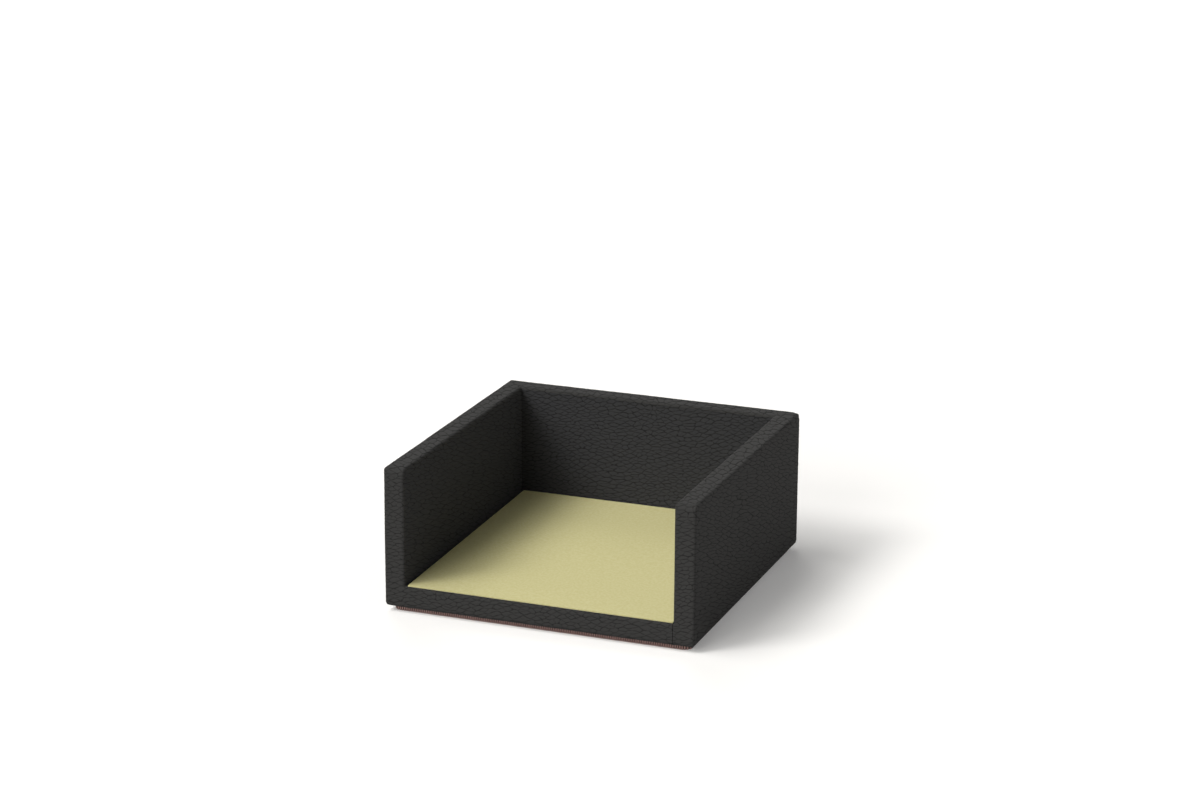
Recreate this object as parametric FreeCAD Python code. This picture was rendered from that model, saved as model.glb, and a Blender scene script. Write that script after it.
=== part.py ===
import FreeCAD, Part
import math
import os

# A desk tray that holds a pad of sticky notes: pinned boards covered in leather.
# Walls stand on the left, the back and the right. The top and the front are open.
# X points right, Y to the back wall and Z up. The origin is at the middle of the underside.
# Lengths are in millimetres.

# Pad of notes, which the tray is sized round
note_width = 76.0
note_length = 83.6
note_thickness = 0.1
notes_under_the_top = 8
pad_backing_thickness = 0.15

# Room that the pad has in the tray
pad_side_gap = 0.5
pad_back_gap = 0.4
pad_front_gap = 0.3

# Boards, leather and the sheet underneath
wall_board_thickness = 4.4
floor_board_thickness = 4.8
leather_thickness = 0.8
base_sheet_thickness = 1.3
base_sheet_inset = 1.6
base_sheet_corner = 1.5

# Height of the walls above the floor's leather
wall_rise = 33.2

# Rounded edges of the leather, outside and round the well
outer_edge_round = 1.2
inner_edge_round = 0.6

# Headed pins that hold the boards together
pin_length = 14.0
pin_diameter = 1.2
pin_point_length = 1.8
pin_head_diameter = 2.2
pin_head_thickness = 0.7
pin_clearance = 0.05
side_pin_shares = (0.15, 0.5, 0.85)
back_pin_shares = (0.2, 0.5, 0.8)
corner_pin_shares = (0.4, 0.85)

# How far a cutting solid runs past what it cuts
overrun = 2.0

# Two places count as one when they differ by less than this share of themselves
same_place_share = 0.0001

# Levels, from the table up
leather_bottom = base_sheet_thickness
board_bottom = leather_bottom + leather_thickness
floor_board_top = board_bottom + floor_board_thickness
floor_top = floor_board_top + leather_thickness
tray_height = floor_top + wall_rise
board_top = tray_height - leather_thickness
block_bottom = floor_top + pad_backing_thickness

# Distances from the middle plane to each layer of a side wall
wall_thickness = wall_board_thickness + 2 * leather_thickness
well_half_width = note_width / 2 + pad_side_gap
board_inner_x = well_half_width + leather_thickness
board_outer_x = board_inner_x + wall_board_thickness
tray_half_width = board_outer_x + leather_thickness

# Places from front to back
tray_depth = pad_front_gap + note_length + pad_back_gap + wall_thickness
tray_front_y = -tray_depth / 2
tray_back_y = tray_depth / 2
board_front_y = tray_front_y + leather_thickness
board_back_y = tray_back_y - leather_thickness
back_board_front_y = board_back_y - wall_board_thickness
well_back_y = back_board_front_y - leather_thickness
pad_front_y = tray_front_y + pad_front_gap
pad_back_y = well_back_y - pad_back_gap
turn_in_end_y = tray_front_y + wall_thickness
past_front_y = tray_front_y - overrun

# Spans that several pieces share
well_x = (-well_half_width, well_half_width)
tray_x = (-tray_half_width, tray_half_width)
between_walls_x = (-board_inner_x, board_inner_x)
floor_board_y = (board_front_y, back_board_front_y)
floor_board_z = (board_bottom, floor_board_top)
back_board_y = (back_board_front_y, board_back_y)
side_board_y = (board_front_y, board_back_y)
wall_board_z = (board_bottom, board_top)
lining_z = (floor_board_top, board_top)

to_the_right = FreeCAD.Vector(1, 0, 0)
to_the_front = FreeCAD.Vector(0, -1, 0)
middle = FreeCAD.Vector(0, 0, 0)

os.makedirs("parts", exist_ok=True)


def export(name, shape):
    """Writes one piece, or one group of like pieces, to its own file."""
    shape.exportStep("parts/" + name + ".step")


def block(x_span, y_span, z_span):
    """A box between three pairs of coordinates."""
    corner = FreeCAD.Vector(x_span[0], y_span[0], z_span[0])
    width = x_span[1] - x_span[0]
    depth = y_span[1] - y_span[0]
    height = z_span[1] - z_span[0]
    return Part.makeBox(width, depth, height, corner)


def mirrored(shape):
    """The same shape on the other side of the middle plane."""
    return shape.mirror(middle, to_the_right)


def along(span, share):
    """The place at a share of the way along a span."""
    return span[0] + (span[1] - span[0]) * share


def lies_at(low, high, place):
    """True where a span has no length and is at the given place."""
    at_low = math.isclose(low, place, rel_tol=same_place_share)
    at_high = math.isclose(high, place, rel_tol=same_place_share)
    return at_low and at_high


# Pins: driven through the side walls into the floor and the back, and through the back into the floor
def pin(head_point, direction, clearance):
    """A headed pin driven from a board's face. With a clearance it is the hole for that pin."""
    shank_radius = pin_diameter / 2 + clearance
    head_radius = pin_head_diameter / 2 + clearance
    shank_length = pin_length - pin_point_length
    point_start = head_point + direction * shank_length
    shank = Part.makeCylinder(shank_radius, shank_length, head_point, direction)
    point = Part.makeCone(shank_radius, clearance, pin_point_length, point_start, direction)
    head = Part.makeCylinder(head_radius, pin_head_thickness, head_point, direction)
    return shank.fuse([point, head]).removeSplitter()


def pins(places, direction, clearance):
    """A group of separate pins, or of the holes for them."""
    return Part.makeCompound([pin(place, direction, clearance) for place in places])


floor_board_middle_z = (board_bottom + floor_board_top) / 2
back_board_middle_y = (back_board_front_y + board_back_y) / 2
left_floor_places = [
    FreeCAD.Vector(-board_outer_x, along(floor_board_y, share), floor_board_middle_z)
    for share in side_pin_shares
]
left_corner_places = [
    FreeCAD.Vector(-board_outer_x, back_board_middle_y, along(wall_board_z, share))
    for share in corner_pin_shares
]
back_floor_places = [
    FreeCAD.Vector(along(between_walls_x, share), board_back_y, floor_board_middle_z)
    for share in back_pin_shares
]

left_floor_pins = pins(left_floor_places, to_the_right, 0)
left_corner_pins = pins(left_corner_places, to_the_right, 0)
back_floor_pins = pins(back_floor_places, to_the_front, 0)
export("left_floor_pins", left_floor_pins)
export("right_floor_pins", mirrored(left_floor_pins))
export("left_corner_pins", left_corner_pins)
export("right_corner_pins", mirrored(left_corner_pins))
export("back_floor_pins", back_floor_pins)

# Boards: two side walls, the back wall between them, and the floor between all three
left_holes = pins(left_floor_places + left_corner_places, to_the_right, pin_clearance)
back_holes = pins(back_floor_places, to_the_front, pin_clearance)
all_holes = [left_holes, mirrored(left_holes), back_holes]
left_board = block((-board_outer_x, -board_inner_x), side_board_y, wall_board_z).cut(left_holes)
back_board = block(between_walls_x, back_board_y, wall_board_z).cut(all_holes)
floor_board = block(between_walls_x, floor_board_y, floor_board_z).cut(all_holes)
export("left_board", left_board)
export("right_board", mirrored(left_board))
export("back_board", back_board)
export("floor_board", floor_board)


# Leather outline: the whole covered tray with its edges rounded, which the leather pieces are cut from
def is_well_rim(edge):
    """True for the straight edges where the leather turns over into the well."""
    box = edge.BoundBox
    on_left = lies_at(box.XMin, box.XMax, -well_half_width)
    on_right = lies_at(box.XMin, box.XMax, well_half_width)
    on_back = lies_at(box.YMin, box.YMax, well_back_y)
    on_front = lies_at(box.YMin, box.YMax, tray_front_y)
    on_top = lies_at(box.ZMin, box.ZMax, tray_height)
    on_floor = lies_at(box.ZMin, box.ZMax, floor_top)
    top_rim = on_top and (on_left or on_right or on_back)
    front_rim = on_front and (on_left or on_right or on_floor)
    return top_rim or front_rim


solid_tray = block(tray_x, (tray_front_y, tray_back_y), (leather_bottom, tray_height))
solid_tray = solid_tray.makeFillet(outer_edge_round, solid_tray.Edges)
well = block(well_x, (past_front_y, well_back_y), (floor_top, tray_height + overrun))
sharp_outline = solid_tray.cut(well)
rim_edges = [edge for edge in sharp_outline.Edges if is_well_rim(edge)]
leather_outline = sharp_outline.makeFillet(inner_edge_round, rim_edges)

# Outer leather: one length round the three walls, turned over their tops, fronts and undersides
inside_leather = block((-board_outer_x, board_outer_x), side_board_y, wall_board_z)
floor_bay_z = (leather_bottom - overrun, tray_height + overrun)
floor_bay = block(well_x, (past_front_y, well_back_y), floor_bay_z)
export("outer_cover", leather_outline.cut([inside_leather, floor_bay]))

# Floor leather: over the floor board, round its front edge and turned in underneath
past_well_y = well_back_y + overrun
floor_board_room = block(tray_x, (board_front_y, past_well_y), floor_board_z)
behind_turn_in = block(tray_x, (turn_in_end_y, past_well_y), (leather_bottom - overrun, board_bottom))
floor_cover = leather_outline.common(floor_bay).cut([floor_board_room, behind_turn_in])
export("floor_cover", floor_cover)

# Linings: flat leather panels on the insides of the walls
left_lining = block((-board_inner_x, -well_half_width), floor_board_y, lining_z)
back_lining = block(well_x, (well_back_y, back_board_front_y), lining_z)
export("left_lining", left_lining)
export("right_lining", mirrored(left_lining))
export("back_lining", back_lining)

# Card that levels the underside between the turned-in leather edges
base_filler = block(well_x, (turn_in_end_y, well_back_y), (leather_bottom, board_bottom))
export("base_filler", base_filler)

# Sheet glued under the tray, set in from its edges
sheet_half_width = tray_half_width - base_sheet_inset
sheet_half_depth = tray_depth / 2 - base_sheet_inset
sheet_x = (-sheet_half_width, sheet_half_width)
sheet_y = (-sheet_half_depth, sheet_half_depth)
base_sheet = block(sheet_x, sheet_y, (0, base_sheet_thickness))
sheet_corners = [edge for edge in base_sheet.Edges if edge.BoundBox.ZLength > base_sheet_thickness / 2]
base_sheet = base_sheet.makeFillet(base_sheet_corner, sheet_corners)
export("base_sheet", base_sheet)

# Pad of notes: loose on the floor, its backing below and its top note free to peel
note_x = (-note_width / 2, note_width / 2)
note_y = (pad_front_y, pad_back_y)


def note(place):
    """One note of the pad, counted from the backing up."""
    bottom = block_bottom + note_thickness * place
    return block(note_x, note_y, (bottom, bottom + note_thickness))


export("pad_backing", block(note_x, note_y, (floor_top, block_bottom)))
export("note_block", Part.makeCompound([note(place) for place in range(notes_under_the_top)]))
export("top_note", note(notes_under_the_top))
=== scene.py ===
import math
import random

import bpy
from mathutils import Matrix, Vector


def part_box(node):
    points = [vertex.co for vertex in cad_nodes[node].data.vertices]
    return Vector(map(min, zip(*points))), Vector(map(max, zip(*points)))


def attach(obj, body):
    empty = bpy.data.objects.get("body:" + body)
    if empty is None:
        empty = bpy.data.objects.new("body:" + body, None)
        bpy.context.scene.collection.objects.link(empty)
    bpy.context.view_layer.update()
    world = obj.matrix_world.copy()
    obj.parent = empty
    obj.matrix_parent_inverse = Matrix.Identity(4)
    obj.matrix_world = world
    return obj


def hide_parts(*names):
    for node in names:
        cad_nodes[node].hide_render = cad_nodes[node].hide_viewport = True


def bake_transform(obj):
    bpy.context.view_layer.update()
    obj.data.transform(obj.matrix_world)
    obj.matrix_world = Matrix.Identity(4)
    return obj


# A desk tray for sticky notes: pinned boards covered in black leather, with a loose pad of notes in it.
# The sections follow the tray as it is put together. Lengths are in metres, in the part's own frame.
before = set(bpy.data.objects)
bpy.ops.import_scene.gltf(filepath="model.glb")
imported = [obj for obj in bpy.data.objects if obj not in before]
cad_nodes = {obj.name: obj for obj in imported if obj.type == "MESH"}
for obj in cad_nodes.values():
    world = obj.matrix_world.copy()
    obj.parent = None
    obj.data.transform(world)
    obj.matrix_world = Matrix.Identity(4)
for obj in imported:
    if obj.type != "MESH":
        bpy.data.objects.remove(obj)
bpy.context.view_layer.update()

# Boards: the floor, two side walls and the back wall, sawn from raw brown fibreboard.
# They butt together under glue and pins, and the leather hides them all over.
mm = 0.001
board_names = ("floor_board", "left_board", "right_board", "back_board")
dark_fibre = (0.33, 0.23, 0.14, 1)
pale_fibre = (0.52, 0.40, 0.27, 1)
board_roughness = 0.9
board_shine = 0.2
fibre_length = 1.6 * mm
fibre_flatness = (1, 1, 3)
fibre_detail = 6
fibre_span = (0.3, 0.7)
fibre_relief = 0.04 * mm


def feed(tree, node, inputs):
    """Sets a node's inputs, or links them to what feeds them."""
    for name, value in inputs.items():
        if isinstance(value, bpy.types.NodeSocket):
            tree.links.new(value, node.inputs[name])
        else:
            node.inputs[name].default_value = value


def add_node(tree, kind, inputs=None, **settings):
    """Adds a node with its settings, and feeds its inputs."""
    made = tree.nodes.new(kind)
    for name, value in settings.items():
        setattr(made, name, value)
    feed(tree, made, inputs or {})
    return made


def new_finish(name):
    """Starts a material: itself, its nodes, its shader and the place on the piece that patterns read."""
    finish = bpy.data.materials.new(name)
    finish.use_nodes = True
    tree = finish.node_tree
    place = add_node(tree, "ShaderNodeTexCoord").outputs["Object"]
    return finish, tree, tree.nodes["Principled BSDF"], place


def noise_at(tree, place, size, detail):
    """A soft noise between 0 and 1 whose lumps are about a size across."""
    inputs = {"Vector": place, "Scale": 1 / size, "Detail": detail}
    return add_node(tree, "ShaderNodeTexNoise", inputs).outputs


def spread(tree, amount, low, high, from_low=0.0, from_high=1.0):
    """An amount brought smoothly from one span to another."""
    spans = {"Value": amount, "From Min": from_low, "From Max": from_high, "To Min": low, "To Max": high}
    return add_node(tree, "ShaderNodeMapRange", spans, interpolation_type="SMOOTHSTEP").outputs["Result"]


def graded(tree, amount, low_colour, high_colour):
    """A colour that runs from one to another as an amount goes from 0 to 1."""
    ramp = add_node(tree, "ShaderNodeValToRGB", {"Fac": amount})
    ramp.color_ramp.elements[0].color = low_colour
    ramp.color_ramp.elements[1].color = high_colour
    return ramp.outputs["Color"]


def scaled(tree, vector, factors):
    """A vector with each of its parts multiplied."""
    return add_node(tree, "ShaderNodeVectorMath", {0: vector, 1: factors}, operation="MULTIPLY").outputs[0]


def relief(tree, shader, height, depth):
    """Bumps a finish by a height from 0 to 1 times a depth."""
    bump = add_node(tree, "ShaderNodeBump", {"Height": height, "Distance": depth})
    feed(tree, shader, {"Normal": bump.outputs["Normal"]})


def finish_node(name, finish):
    """Puts a finish on a node that keeps its own shape."""
    for slot in cad_nodes[name].material_slots:
        slot.material = finish


board_finish, tree, shader, place = new_finish("raw_fibreboard")
fibres = noise_at(tree, scaled(tree, place, fibre_flatness), fibre_length, fibre_detail)["Fac"]
fibres = spread(tree, fibres, 0, 1, *fibre_span)
feed(tree, shader, {
    "Base Color": graded(tree, fibres, dark_fibre, pale_fibre),
    "Roughness": board_roughness,
    "Specular IOR Level": board_shine,
})
relief(tree, shader, fibres, fibre_relief)
for name in board_names:
    finish_node(name, board_finish)

# Pins: headed pins of bright drawn steel wire, three or two to a joint.
# They are driven through the walls into the edges of the next board, and stay in their holes.
pin_names = (
    "left_floor_pins",
    "right_floor_pins",
    "back_floor_pins",
    "left_corner_pins",
    "right_corner_pins",
)
dull_steel = (0.42, 0.42, 0.43, 1)
bright_steel = (0.62, 0.62, 0.63, 1)
steel_roughness = (0.28, 0.5)
drawing_mark = 0.25 * mm
drawing_stretch = (0.15, 0.15, 1)
drawing_detail = 2
drawing_relief = 0.004 * mm

pin_finish, tree, shader, place = new_finish("drawn_steel")
marks = noise_at(tree, scaled(tree, place, drawing_stretch), drawing_mark, drawing_detail)["Fac"]
feed(tree, shader, {
    "Base Color": graded(tree, marks, dull_steel, bright_steel),
    "Roughness": spread(tree, marks, *steel_roughness),
    "Metallic": 1,
})
relief(tree, shader, marks, drawing_relief)
for name in pin_names:
    finish_node(name, pin_finish)

# Floor leather: one piece of black pebble-grained leather, glued over the floor board.
# It is turned round the board's front edge, where it shows as a strip, and ends under the board.
lining_low, lining_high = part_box("left_lining")
cover_low, cover_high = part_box("outer_cover")
floor_low, floor_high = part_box("floor_cover")
leather_thickness = lining_high.x - lining_low.x
wall_thickness = cover_high.x - floor_high.x
turn_in_end = floor_low.y + wall_thickness
seam_gap = 0.15 * mm
seam_end = floor_high.x - seam_gap
lip_round = 0.75 * mm
bottom_round = 1.2 * mm
rounding_parts = 4
hair = 0.01 * mm
far_off = 1.0
cell = 5.2 * mm
count_slack = 0.00001
cell_parts = 10
shortest_divided = 1.0 * mm
smooth_angle = math.radians(40)
pebble_length = 3.0 * mm
pebble_height = 1.45 * mm
pebble_disorder = 0.72
grain_along = Vector((0.936, 0.42, 0))
grain_up = Vector((-0.102, 0.270, 0.957))
noise_middle = (0.5, 0.5, 0.5)
stray_detail = 0
drift_reach = Vector((5, 2.6, 0)) * mm
drift_length = 16 * mm
ripple_reach = Vector((1.0, 0.45, 0)) * mm
ripple_length = 1.8 * mm
step_width = 0.15
dome_width = 0.4
dome_share = 0.08
crease_width = 0.15
crease_share = 0.04
break_length = 1.4 * mm
break_detail = 1
break_span = (0.40, 0.68)
broken_share = 0.35
level_span = (0.04, 0.26)
steep_share = 0.3
pit_length = 0.6 * mm
pit_detail = 2
pit_share = 0.12
pit_tint = 0.3
grain_depth = 0.12 * mm
press_depth = 0.04 * mm
sag_length = 14 * mm
sag_detail = 1
sag_span = (0.25, 0.75)
sag_depth = 0.06 * mm
# Painted shade: the leather's creases are coloured this darker black.
crease_shade_black = (0.0192, 0.0188, 0.0181, 1)
pebble_black = (0.0424, 0.0415, 0.0399, 1)
pebble_roughness = 0.75
crease_roughness = 0.9
leather_shine = 0.05


def new_block(name, low, high):
    """Adds a cube at its size and place, with the place kept in its mesh."""
    bpy.ops.object.select_all(action="DESELECT")
    bpy.ops.mesh.primitive_cube_add(size=1, location=(low + high) / 2, scale=high - low)
    bpy.ops.object.transform_apply()
    bpy.context.object.name = name
    bpy.context.object.data.name = name
    return bpy.context.object


def leave_edit_mode():
    """Goes back to object mode, which brings the mesh up to date."""
    bpy.ops.object.mode_set(mode="OBJECT")


def pick(piece, kind, rule):
    """Opens a piece for editing with only those parts selected that the rule takes by their points."""
    leave_edit_mode()
    mesh = piece.data
    points = [vertex.co for vertex in mesh.vertices]
    places = {
        "VERT": [(point,) for point in points],
        "EDGE": [[points[index] for index in edge.vertices] for edge in mesh.edges],
        "FACE": [(face.center,) for face in mesh.polygons],
    }
    for parts in (mesh.vertices, mesh.edges, mesh.polygons):
        parts.foreach_set("select", [False] * len(parts))
    parts = {"VERT": mesh.vertices, "EDGE": mesh.edges, "FACE": mesh.polygons}[kind]
    parts.foreach_set("select", [bool(rule(*spot)) for spot in places[kind]])
    bpy.context.tool_settings.mesh_select_mode = [kind == each for each in ("VERT", "EDGE", "FACE")]
    bpy.ops.object.mode_set(mode="EDIT")


def steps(start, end, longest):
    """Even places between two ends, no further apart than a length."""
    count = math.ceil((end - start) / longest - count_slack)
    return [start + (end - start) * step / count for step in range(1, count)]


def cut_across(piece, axis, places):
    """Cuts a piece right through, square to an axis, at places along it."""
    direction = Vector([axis == each for each in range(3)])
    pick(piece, "FACE", lambda middle: True)
    for place in places:
        bpy.ops.mesh.select_all(action="SELECT")
        bpy.ops.mesh.bisect(plane_co=direction * place, plane_no=direction)
    leave_edit_mode()


def remove_faces(piece, rule):
    """Deletes the faces whose middles the rule takes."""
    pick(piece, "FACE", rule)
    bpy.ops.mesh.delete(type="FACE")
    leave_edit_mode()


def apply_modifier(piece, kind, **settings):
    """Adds a modifier with its settings and applies it."""
    leave_edit_mode()
    modifier = piece.modifiers.new(kind.lower(), kind)
    for name, value in settings.items():
        setattr(modifier, name, value)
    bpy.ops.object.modifier_apply(modifier=modifier.name)


def outside(low, high):
    """A rule that takes the points outside a box."""
    return lambda point: any(
        at < least - hair or at > most + hair for at, least, most in zip(point, low, high)
    )


def round_edges(piece, radii):
    """Rounds edges in one go, each by the radius that the first rule to take its ends comes with."""
    weights = piece.data.attributes.new("bevel_weight_edge", "FLOAT", "EDGE")
    largest = max(radius for radius, rule in radii)
    for edge in piece.data.edges:
        ends = [piece.data.vertices[index].co for index in edge.vertices]
        taken = [radius for radius, rule in radii if rule(*ends)]
        weights.data[edge.index].value = taken[0] / largest if taken else 0
    apply_modifier(piece, "BEVEL", width=largest, segments=rounding_parts, limit_method="WEIGHT")


def refine(piece, rule):
    """Divides the long edges whose ends the rule takes, fine enough to press a grain into."""
    pick(piece, "EDGE", lambda start, end: (
        (start - end).length > shortest_divided
        and rule(start)
        and rule(end)
    ))
    bpy.ops.mesh.subdivide(number_cuts=cell_parts - 1)
    leave_edit_mode()


def worked(tree, operation, *amounts):
    """The result of a sum, product or other simple operation on amounts."""
    return add_node(tree, "ShaderNodeMath", dict(enumerate(amounts)), operation=operation).outputs[0]


def moved(tree, place, move, operation="ADD"):
    """A place with another place or move added to it or taken from it."""
    return add_node(tree, "ShaderNodeVectorMath", {0: place, 1: move}, operation=operation).outputs[0]


def strayed(tree, place, length, reach):
    """A place moved about by a soft noise."""
    noise = noise_at(tree, place, length, stray_detail)["Color"]
    drift = moved(tree, noise, noise_middle, "SUBTRACT")
    return moved(tree, place, scaled(tree, drift, reach))


def on_flat_leather(tree, place):
    """A place on the leather laid flat, along its grain and up it. The grain slants over the tray."""
    along = add_node(tree, "ShaderNodeVectorMath", {0: place, 1: grain_along}, operation="DOT_PRODUCT")
    up = add_node(tree, "ShaderNodeVectorMath", {0: place, 1: grain_up}, operation="DOT_PRODUCT")
    both = {"X": along.outputs["Value"], "Y": up.outputs["Value"]}
    return add_node(tree, "ShaderNodeCombineXYZ", both).outputs[0]


def in_pebbles(tree, flat):
    """A place on the flat leather, counted in pebbles along the two directions that its creases take."""
    loose = strayed(tree, strayed(tree, flat, drift_length, drift_reach), ripple_length, ripple_reach)
    parts = add_node(tree, "ShaderNodeSeparateXYZ", {"Vector": loose}).outputs
    along = worked(tree, "DIVIDE", parts["X"], pebble_length)
    up = worked(tree, "DIVIDE", parts["Y"], pebble_height)
    slants = {"X": worked(tree, "ADD", along, up), "Y": worked(tree, "SUBTRACT", along, up)}
    return add_node(tree, "ShaderNodeCombineXYZ", slants).outputs[0]


def pebbles(tree, slanting, feature):
    """The pattern of pebbles at a place counted in pebbles."""
    cells = {"Vector": slanting, "Scale": 1, "Randomness": pebble_disorder}
    return add_node(tree, "ShaderNodeTexVoronoi", cells, feature=feature, voronoi_dimensions="2D").outputs


def leather_grain(tree, place):
    """The grain's height, as each pebble rises to its lower edge, and its dark: shade painted into its
    creases, and the random dark of its pits.
    """
    flat = on_flat_leather(tree, place)
    slanting = in_pebbles(tree, flat)
    distance = pebbles(tree, slanting, "DISTANCE_TO_EDGE")["Distance"]
    from_middle = moved(tree, slanting, pebbles(tree, slanting, "F1")["Position"], "SUBTRACT")
    offset = add_node(tree, "ShaderNodeSeparateXYZ", {"Vector": from_middle}).outputs
    below_middle = worked(tree, "DIVIDE", worked(tree, "SUBTRACT", offset["Y"], offset["X"]), 2)
    patches = noise_at(tree, flat, break_length, break_detail)["Fac"]
    breaks = spread(tree, patches, 1, broken_share, *break_span)
    level = spread(tree, worked(tree, "ABSOLUTE", below_middle), steep_share, 1, *level_span)
    # Painted shade: the creases are coloured darker, most at the upper and lower ends of each pebble and
    # less at its sides. The same lines also dent the relief.
    crease_shade_and_dent = worked(tree, "MULTIPLY", spread(tree, distance, 1, 0, 0, crease_width), breaks)
    crease_shade_and_dent = worked(tree, "MULTIPLY", crease_shade_and_dent, level)
    pits = noise_at(tree, flat, pit_length, pit_detail)["Fac"]
    height = worked(tree, "MULTIPLY", below_middle, spread(tree, distance, 0, 1, 0, step_width))
    height = worked(tree, "ADD", height, spread(tree, distance, 0, dome_share, 0, dome_width))
    height = worked(tree, "MULTIPLY_ADD", crease_shade_and_dent, -crease_share, height)
    height = worked(tree, "MULTIPLY_ADD", pits, pit_share, height)
    # The dark sums the painted crease shade and the pits' own random tone of the leather.
    dark = worked(tree, "MULTIPLY_ADD", pits, pit_tint, crease_shade_and_dent)
    return height, dark


def new_grain_press():
    """A node group that presses soft pebbles and slight sags into the marked points of a mesh."""
    tree = bpy.data.node_groups.new("grain_press", "GeometryNodeTree")
    tree.interface.new_socket("Geometry", in_out="INPUT", socket_type="NodeSocketGeometry")
    tree.interface.new_socket("Geometry", in_out="OUTPUT", socket_type="NodeSocketGeometry")
    flat = add_node(tree, "NodeGroupInput").outputs[0]
    place = add_node(tree, "GeometryNodeInputPosition").outputs[0]
    outwards = add_node(tree, "GeometryNodeInputNormal").outputs[0]
    mark = add_node(tree, "GeometryNodeInputNamedAttribute", {"Name": "grained"}, data_type="FLOAT")
    lumps = noise_at(tree, place, sag_length, sag_detail)["Fac"]
    sags = spread(tree, lumps, -sag_depth, 0, *sag_span)
    slanting = in_pebbles(tree, on_flat_leather(tree, place))
    distance = pebbles(tree, slanting, "DISTANCE_TO_EDGE")["Distance"]
    depth = worked(tree, "ADD", spread(tree, distance, -press_depth, 0, 0, dome_width), sags)
    depth = worked(tree, "MULTIPLY", depth, mark.outputs[0])
    move = add_node(tree, "ShaderNodeVectorMath", {0: outwards, "Scale": depth}, operation="SCALE")
    press = {"Geometry": flat, "Offset": move.outputs[0]}
    pressed = add_node(tree, "GeometryNodeSetPosition", press).outputs[0]
    add_node(tree, "NodeGroupOutput", {0: pressed})
    return tree


def press_grain(piece, rule):
    """Presses the leather's grain into the points that the rule takes."""
    piece.vertex_groups.new(name="grained")
    pick(piece, "VERT", rule)
    bpy.ops.object.vertex_group_assign()
    apply_modifier(piece, "NODES", node_group=grain_press)
    piece.vertex_groups.clear()


def finish_piece(piece, finish, node):
    """Gives a finished mesh its finish, and hides the node that it stands for."""
    leave_edit_mode()
    piece.data.materials.append(finish)
    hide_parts(node)


def new_leather(name, pebble, crease_shade):
    """A dull leather with shade painted into its creases, which are also rougher than its pebbles."""
    finish, tree, shader, place = new_finish(name)
    height, dark = leather_grain(tree, place)
    feed(tree, shader, {
        "Base Color": graded(tree, dark, pebble, crease_shade),
        "Roughness": spread(tree, dark, pebble_roughness, crease_roughness),
        "Specular IOR Level": leather_shine,
    })
    relief(tree, shader, height, grain_depth)
    return finish


def on_upper_fold(*ends):
    """True for an edge where the floor leather turns down over the board's front."""
    return all(point.y < floor_low.y + hair and point.z > floor_high.z - hair for point in ends)


def on_lower_fold(*ends):
    """True for an edge where the floor leather turns in under the board's front."""
    return all(point.y < floor_low.y + hair and point.z < floor_low.z + hair for point in ends)


grain_press = new_grain_press()
leather_finish = new_leather("black_pebbled_leather", pebble_black, crease_shade_black)

floor_leather = new_block("floor_leather", floor_low, Vector((seam_end, floor_high.y, floor_high.z)))
cut_across(floor_leather, 0, steps(floor_low.x, seam_end, cell))
cut_across(floor_leather, 1, [turn_in_end] + steps(turn_in_end, floor_high.y, cell))
remove_faces(floor_leather, lambda point: (
    abs(point.x) > seam_end - hair
    or point.y > floor_high.y - hair
    or point.z < floor_low.z + hair and point.y > turn_in_end
))
apply_modifier(floor_leather, "SOLIDIFY", thickness=leather_thickness, offset=-1, use_even_offset=True)
inside_low = Vector((-far_off, floor_low.y + leather_thickness, floor_low.z + leather_thickness))
inside_high = Vector((far_off, far_off, floor_high.z - leather_thickness))
on_floor_skin = outside(inside_low, inside_high)
round_edges(floor_leather, [(lip_round, on_upper_fold), (bottom_round, on_lower_fold)])
refine(floor_leather, on_floor_skin)
press_grain(floor_leather, lambda point: (
    on_floor_skin(point)
    and abs(point.x) < seam_end - hair
    and point.y < floor_high.y - hair
))
bpy.ops.object.shade_smooth_by_angle(angle=smooth_angle)
finish_piece(floor_leather, leather_finish, "floor_cover")
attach(floor_leather, "holder")

# Linings: three panels of the black leather, glued to the insides of the walls, painted slightly cooler to
# cancel the yellow light that the pad throws on them.
# They stand on the floor board, and their edges lie under the outer leather's turned-over lip.
# The side panels butt against the back one with their last stretch left flat.
lining_panels = (
    ("left_leather_lining", "left_lining", 0, 1),
    ("right_leather_lining", "right_lining", 0, -1),
    ("back_leather_lining", "back_lining", 1, -1),
)
butt_width = 0.6 * mm
butt_start = floor_high.y - butt_width
# Painted light: the linings' colours are tinted cooler against the pad's yellow bounce light, and their
# creases are darker as painted shade.
bounce_cooled_crease_shade = (0.0178, 0.0178, 0.0186, 1)
bounce_cooled_pebble = (0.0410, 0.0410, 0.0430, 1)

lining_finish = new_leather("black_lining_leather", bounce_cooled_pebble, bounce_cooled_crease_shade)
for name, node, across, facing in lining_panels:
    low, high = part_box(node)
    along = 1 - across
    front = high[across] if facing > 0 else low[across]
    panel = new_block(name, low, high)
    for axis in (along, 2):
        cut_across(panel, axis, steps(low[axis], high[axis], cell))
    refine(panel, lambda point: abs(point[across] - front) < hair)
    press_grain(panel, lambda point: (
        abs(point[across] - front) < hair
        and low[along] + hair < point[along] < min(high[along] - hair, butt_start)
        and low.z + hair < point.z < high.z - hair
    ))
    bpy.ops.object.shade_smooth_by_angle(angle=smooth_angle)
    finish_piece(panel, lining_finish, node)
    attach(panel, "holder")

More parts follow.
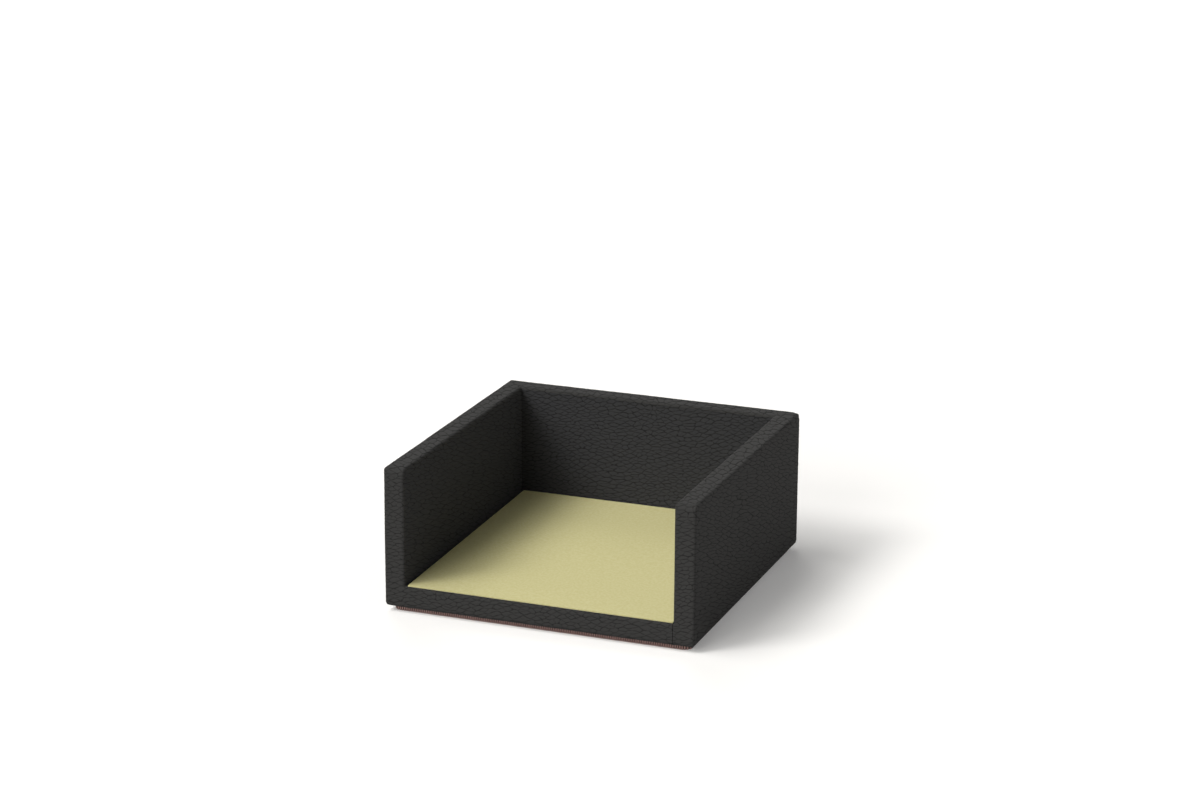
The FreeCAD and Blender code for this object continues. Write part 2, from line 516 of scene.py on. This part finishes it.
# Outer leather: one long piece of the floor's black leather, glued round the outside of the three walls.
# It is turned over their tops and front ends, where its rounded lip meets the linings, and under the tray.
# Its corner at the back right is worn round.
skin = Vector((leather_thickness, leather_thickness, leather_thickness))
outer_round = 0.7 * mm
front_corner_round = 1.5 * mm
tip_round = 0.3 * mm
lip_taper = 0.4 * mm
worn_core = 0.9 * mm
worn_reach = 1.4 * mm
worn_move = Vector((-0.1, -0.15, -0.2)) * mm
well_side = floor_high.x
well_back = floor_high.y
floor_top = floor_high.z


def at_front(*ends):
    """True for an edge in the front of the tray's box."""
    return all(point.y < cover_low.y + hair for point in ends)


def at_top(*ends):
    """True for an edge in the top of the tray's box."""
    return all(point.z > cover_high.z - hair for point in ends)


def at_bottom(*ends):
    """True for an edge in the bottom of the tray's box."""
    return all(point.z < cover_low.z + hair for point in ends)


def on_outer_edge(*ends):
    """True for an edge of the tray's box: both ends lie on the same two of its sides."""
    on_side = all(abs(abs(point.x) - cover_high.x) < hair for point in ends)
    on_end = all(abs(abs(point.y) - cover_high.y) < hair for point in ends)
    return on_side + on_end + (at_bottom(*ends) or at_top(*ends)) > 1


def on_lip(*ends):
    """True for an edge where the leather turns over into the well, along a wall's top or front end."""
    beside = all(abs(abs(point.x) - well_side) < hair and point.y < well_back + hair for point in ends)
    behind = all(abs(point.y - well_back) < hair and abs(point.x) < well_side + hair for point in ends)
    over_floor = all(point.z > floor_top - hair for point in ends)
    return beside and (at_top(*ends) or at_front(*ends) and over_floor) or behind and at_top(*ends)


def on_front_top(*ends):
    """True for the edges over the front ends of the walls, which are the softest."""
    return on_outer_edge(*ends) and at_front(*ends) and at_top(*ends)


def on_bottom(*ends):
    """True for the edges round the underside."""
    return on_outer_edge(*ends) and at_bottom(*ends)


def on_back_left(*ends):
    """True for the upright edge at the back left, which is folded sharper than the others."""
    in_corner = all(point.x < cover_low.x + hair and point.y > cover_high.y - hair for point in ends)
    return on_outer_edge(*ends) and in_corner


outer_leather = new_block("outer_leather", cover_low, cover_high)
cut_across(outer_leather, 0, [-well_side] + steps(-well_side, well_side, cell) + [well_side])
cut_across(outer_leather, 1, steps(cover_low.y, well_back, cell) + [well_back])
cut_across(outer_leather, 2, [floor_top - lip_taper, floor_top] + steps(floor_top, cover_high.z, cell))
remove_faces(outer_leather, lambda point: abs(point.x) < well_side and point.y < well_back)
apply_modifier(outer_leather, "SOLIDIFY", thickness=leather_thickness, offset=-1, use_even_offset=True)
round_edges(outer_leather, [
    (front_corner_round, on_front_top),
    (bottom_round, on_bottom),
    (tip_round, on_back_left),
    (outer_round, on_outer_edge),
    (lip_round, on_lip),
])
on_outer_skin = outside(cover_low + skin, cover_high - skin)
refine(outer_leather, on_outer_skin)
pick(outer_leather, "VERT", lambda point: (point - cover_high).length < worn_core)
bpy.ops.transform.translate(
    value=worn_move, use_proportional_edit=True, use_proportional_connected=True,
    proportional_edit_falloff="SMOOTH", proportional_size=worn_reach,
)
leave_edit_mode()
press_grain(outer_leather, lambda point: on_outer_skin(point) and not (
    abs(abs(point.x) - well_side) < hair and point.y < well_back + hair
    or abs(point.y - well_back) < hair and abs(point.x) < well_side
))
bpy.ops.object.shade_smooth_by_angle(angle=smooth_angle)
finish_piece(outer_leather, leather_finish, "outer_cover")
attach(outer_leather, "holder")

# Filler card: a piece of grey card glued under the floor board.
# It fills the step between the turned-in edges of the leather, so that the underside is level.
dark_pulp = (0.33, 0.30, 0.25, 1)
pale_pulp = (0.48, 0.45, 0.39, 1)
card_roughness = 0.92
card_shine = 0.2
pulp_fleck = 0.9 * mm
pulp_detail = 5
pulp_span = (0.3, 0.7)
pulp_relief = 0.03 * mm

card_finish, tree, shader, place = new_finish("grey_card")
flecks = spread(tree, noise_at(tree, place, pulp_fleck, pulp_detail)["Fac"], 0, 1, *pulp_span)
feed(tree, shader, {
    "Base Color": graded(tree, flecks, dark_pulp, pale_pulp),
    "Roughness": card_roughness,
    "Specular IOR Level": card_shine,
})
relief(tree, shader, flecks, pulp_relief)
finish_node("base_filler", card_finish)

# Base sheet: a finely ribbed reddish-brown cloth, stiff with glue, stuck under the tray to stand on.
# It is set in from the leather's edge, its corners are rounded, and its ribs run from front to back.
sheet_low, sheet_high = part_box("base_sheet")
sheet_corner = 2.6 * mm
rib_count = 132
rib_pitch = (sheet_high.x - sheet_low.x) / rib_count
rib_parts = 4
rib_smooth_angle = math.radians(50)
groove_depth = 0.2 * mm
middle_z = (sheet_low.z + sheet_high.z) / 2
# Painted shade: the cloth is coloured this dark red-brown down in its grooves, between the paler ribs.
groove_shade_red = (0.060, 0.030, 0.028, 1)
rib_red = (0.42, 0.270, 0.235, 1)
cloth_roughness = 0.95
cloth_shine = 0.1
cloth_fuzz = 0.2
thread = 0.16 * mm
thread_detail = 3
thread_relief = 0.03 * mm
tone_span = (0.05, 0.6)

first_rib_end = Vector((sheet_low.x + rib_pitch, sheet_high.y, sheet_high.z))
base_sheet = new_block("ribbed_base_sheet", sheet_low, first_rib_end)
cut_across(base_sheet, 0, [sheet_low.x + rib_pitch * part / rib_parts for part in range(1, rib_parts)])
for part in range(rib_parts + 1):
    dip = groove_depth * (1 - math.sin(math.pi * part / rib_parts))
    at = sheet_low.x + rib_pitch * part / rib_parts
    rise = 1 - 2 * dip / (sheet_high.z - sheet_low.z)
    reach = 1 - 2 * dip / (sheet_high.y - sheet_low.y)
    pick(base_sheet, "VERT", lambda point: abs(point.x - at) < hair)
    bpy.ops.transform.resize(value=(1, reach, rise), center_override=(at, 0, middle_z))
remove_faces(base_sheet, lambda point: (
    abs(point.x - sheet_low.x) < hair
    or abs(point.x - sheet_low.x - rib_pitch) < hair
))
apply_modifier(
    base_sheet, "ARRAY", count=rib_count, use_relative_offset=False, use_constant_offset=True,
    constant_offset_displace=(rib_pitch, 0, 0), use_merge_vertices=True, merge_threshold=hair,
)
pick(base_sheet, "EDGE", lambda start, end: (
    max(abs(start.x), abs(end.x)) > sheet_high.x - hair
    and abs(start.x - end.x) < hair
))
bpy.ops.mesh.edge_face_add()
leave_edit_mode()
for column in range(rib_parts * math.ceil(sheet_corner / rib_pitch)):
    inset = rib_pitch * column / rib_parts
    if inset < sheet_corner:
        drop = sheet_corner - math.sqrt(sheet_corner ** 2 - (sheet_corner - inset) ** 2)
        for side in (-1, 1):
            pick(base_sheet, "VERT", lambda point: (
                abs(abs(point.x) - sheet_high.x + inset) < hair
                and point.y * side > 0
            ))
            bpy.ops.transform.translate(value=(0, -side * drop, 0))
leave_edit_mode()
bpy.ops.object.shade_smooth_by_angle(angle=rib_smooth_angle)

cloth_finish, tree, shader, place = new_finish("ribbed_red_brown_cloth")
across = add_node(tree, "ShaderNodeSeparateXYZ", {"Vector": place}).outputs["X"]
# The colour is painted shade down in each groove, with the threads' own random tone over it.
turns = worked(tree, "MULTIPLY_ADD", across, 2 * math.pi / rib_pitch, math.pi)
crest = spread(tree, worked(tree, "COSINE", turns), 0, 1, -1, 1)
threads = noise_at(tree, place, thread, thread_detail)["Fac"]
tone = spread(tree, worked(tree, "MULTIPLY", crest, threads), 0, 1, *tone_span)
feed(tree, shader, {
    "Base Color": graded(tree, tone, groove_shade_red, rib_red),
    "Roughness": cloth_roughness,
    "Specular IOR Level": cloth_shine,
    "Sheen Weight": cloth_fuzz,
})
relief(tree, shader, threads, thread_relief)
finish_piece(base_sheet, cloth_finish, "base_sheet")
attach(base_sheet, "holder")

# Pad of notes: pale yellow paper notes on a paper backing, held by a glue strip along the back edge.
# The strip makes the pad a little thicker at the back. The pad lies loose, near the right wall.
backing_low, backing_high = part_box("pad_backing")
block_low, block_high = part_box("note_block")
top_low, top_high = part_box("top_note")
note_thickness = top_high.z - top_low.z
note_count = round((block_high.z - block_low.z) / note_thickness)
glue_swell = 0.65
bend_cell = 0.5 * mm
lie = Vector((0.35, 0, 0)) * mm
jog = 0.09 * mm
jog_seed = 58
dark_yellow = (0.599, 0.551, 0.269, 1)
pale_yellow = (0.644, 0.600, 0.319, 1)
dark_backing = (0.66, 0.64, 0.56, 1)
pale_backing = (0.76, 0.74, 0.66, 1)
paper_roughness = 0.9
paper_shine = 0.12
paper_fibre = 0.7 * mm
paper_detail = 6
paper_span = (0.3, 0.7)
paper_relief = 0.008 * mm


def new_paper(name, dark, pale):
    """An uncoated paper: matt, with short fibres in two tones."""
    finish, tree, shader, place = new_finish(name)
    fibres = noise_at(tree, place, paper_fibre, paper_detail)["Fac"]
    feed(tree, shader, {
        "Base Color": graded(tree, spread(tree, fibres, 0, 1, *paper_span), dark, pale),
        "Roughness": paper_roughness,
        "Specular IOR Level": paper_shine,
    })
    relief(tree, shader, fibres, paper_relief)
    return finish


def new_note(name, low, high, longest):
    """One flat sheet of the pad, cut across so that it can bend."""
    note = new_block(name, low, high)
    cut_across(note, 0, steps(low.x, high.x, cell))
    cut_across(note, 1, steps(low.y, high.y, longest))
    return note


def swell_back(piece):
    """Makes a sheet of the pad thicker and higher at the glued back edge, and thinner at the front."""
    half = (backing_high.y - backing_low.y) / 2
    middle = (backing_high.y + backing_low.y) / 2
    for row in sorted({round(vertex.co.y / hair) for vertex in piece.data.vertices}):
        share = 1 + glue_swell * (row * hair - middle) / half
        pick(piece, "VERT", lambda point: round(point.y / hair) == row)
        bpy.ops.transform.resize(value=(1, 1, share), center_override=(0, row * hair, backing_low.z))
    leave_edit_mode()


note_paper = new_paper("yellow_note_paper", dark_yellow, pale_yellow)
backing_paper = new_paper("backing_paper", dark_backing, pale_backing)

paper_backing = new_note("paper_backing", backing_low + lie, backing_high + lie, cell)
swell_back(paper_backing)
finish_piece(paper_backing, backing_paper, "pad_backing")
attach(paper_backing, "note_pad")

sheets = []
draws = random.Random(jog_seed)
first_high = Vector((block_high.x, block_high.y, block_low.z + note_thickness))
for place_in_pad in range(note_count):
    rise = Vector((0, 0, note_thickness * place_in_pad))
    shift = lie + Vector((draws.uniform(-jog, jog), draws.uniform(-jog, jog), 0))
    sheets.append(new_block("note_%d" % place_in_pad, block_low + rise + shift, first_high + rise + shift))
bpy.ops.object.select_all(action="DESELECT")
for sheet in sheets:
    sheet.select_set(True)
bpy.context.view_layer.objects.active = sheets[0]
bpy.ops.object.join()
note_stack = bpy.context.object
note_stack.name = "note_stack"
swell_back(note_stack)
finish_piece(note_stack, note_paper, "note_block")
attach(note_stack, "note_pad")

top_note = new_note("loose_top_note", top_low + lie, top_high + lie, bend_cell)
swell_back(top_note)
bpy.ops.object.shade_smooth_by_angle(angle=smooth_angle)
finish_piece(top_note, note_paper, "top_note")
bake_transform(top_note)

# Table: a plain white surface that keeps the tray's soft shadow.
# Rays from the camera and from mirror-like surfaces see it as white, with its shadow veiled a little.
# Other light finds it a pale grey.
table_size = 12.0
plain_white = (1, 1, 1, 1)
seen_white = (0.95, 0.932, 0.9, 1)
seen_veil = 0.169
lit_white = (0.64, 0.64, 0.64, 1)


def seen_rays(tree):
    """1 for the rays that see the background itself, and 0 for the light that it gives."""
    path = add_node(tree, "ShaderNodeLightPath").outputs
    seen = worked(tree, "MAXIMUM", path["Is Camera Ray"], path["Is Glossy Ray"])
    return worked(tree, "MAXIMUM", seen, path["Is Transmission Ray"])


bpy.ops.object.select_all(action="DESELECT")
bpy.ops.mesh.primitive_plane_add(size=table_size)
table = bpy.context.object
table.name = "table"
table_finish, tree, shader = new_finish("plain_table")[:3]
seen = seen_rays(tree)
feed(tree, shader, {
    "Base Color": graded(tree, seen, lit_white, seen_white),
    "Emission Color": plain_white,
    "Emission Strength": worked(tree, "MULTIPLY", seen, seen_veil),
    "Roughness": 1,
    "Specular IOR Level": 0,
})
table.data.materials.append(table_finish)

# Light: a wide soft light from the front left, a higher one from the left and a low one from the front,
# with weak fills from the right and behind, in a dim even surround.
# Each light has its turn from the front, its rise and its width in degrees, and its strength.
soft_lights = (
    ("key", -46, 46, 22, 1.317),
    ("high_light", -70, 64, 28, 0.875),
    ("front_fill", -15, 22, 30, 1.446),
    ("right_fill", 85, 20, 30, 0.441),
    ("back_fill", -150, 42, 30, 0.536),
)
surround_strength = 0.102

for name, turn, rise, width, strength in soft_lights:
    bpy.ops.object.light_add(type="SUN", rotation=(math.radians(90 - rise), 0, math.radians(turn)))
    lamp = bpy.context.object
    lamp.name = name
    lamp.data.energy = strength
    lamp.data.angle = math.radians(width)

world = bpy.data.worlds.new("pale_surround")
bpy.context.scene.world = world
world.use_nodes = True
tree = world.node_tree
feed(tree, tree.nodes["Background"], {
    "Color": plain_white,
    "Strength": spread(tree, seen_rays(tree), surround_strength, 1),
})

# Camera: a long lens above and to the right of the open front, almost level.
# Its focal length is counted in pixels of an image of the given width.
camera_place = Vector((301.18, -796.74, 308.90)) * mm
camera_turn = math.radians(20.665)
camera_fall = math.radians(16.776)
camera_roll = math.radians(0.332)
image_width = 1200
focal_pixels = 3231.6
sensor_width = 36
nearest_seen = 0.01
furthest_seen = 100

bpy.ops.object.camera_add(location=camera_place)
camera = bpy.context.object
aim = Matrix.Rotation(camera_turn, 3, "Z") @ Matrix.Rotation(math.pi / 2 - camera_fall, 3, "X")
camera.rotation_euler = (aim @ Matrix.Rotation(camera_roll, 3, "Z")).to_euler()
camera.data.sensor_width = sensor_width
camera.data.lens = focal_pixels * sensor_width / image_width
camera.data.clip_start = nearest_seen
camera.data.clip_end = furthest_seen
bpy.context.scene.camera = camera
bpy.context.scene.view_settings.view_transform = "Standard"
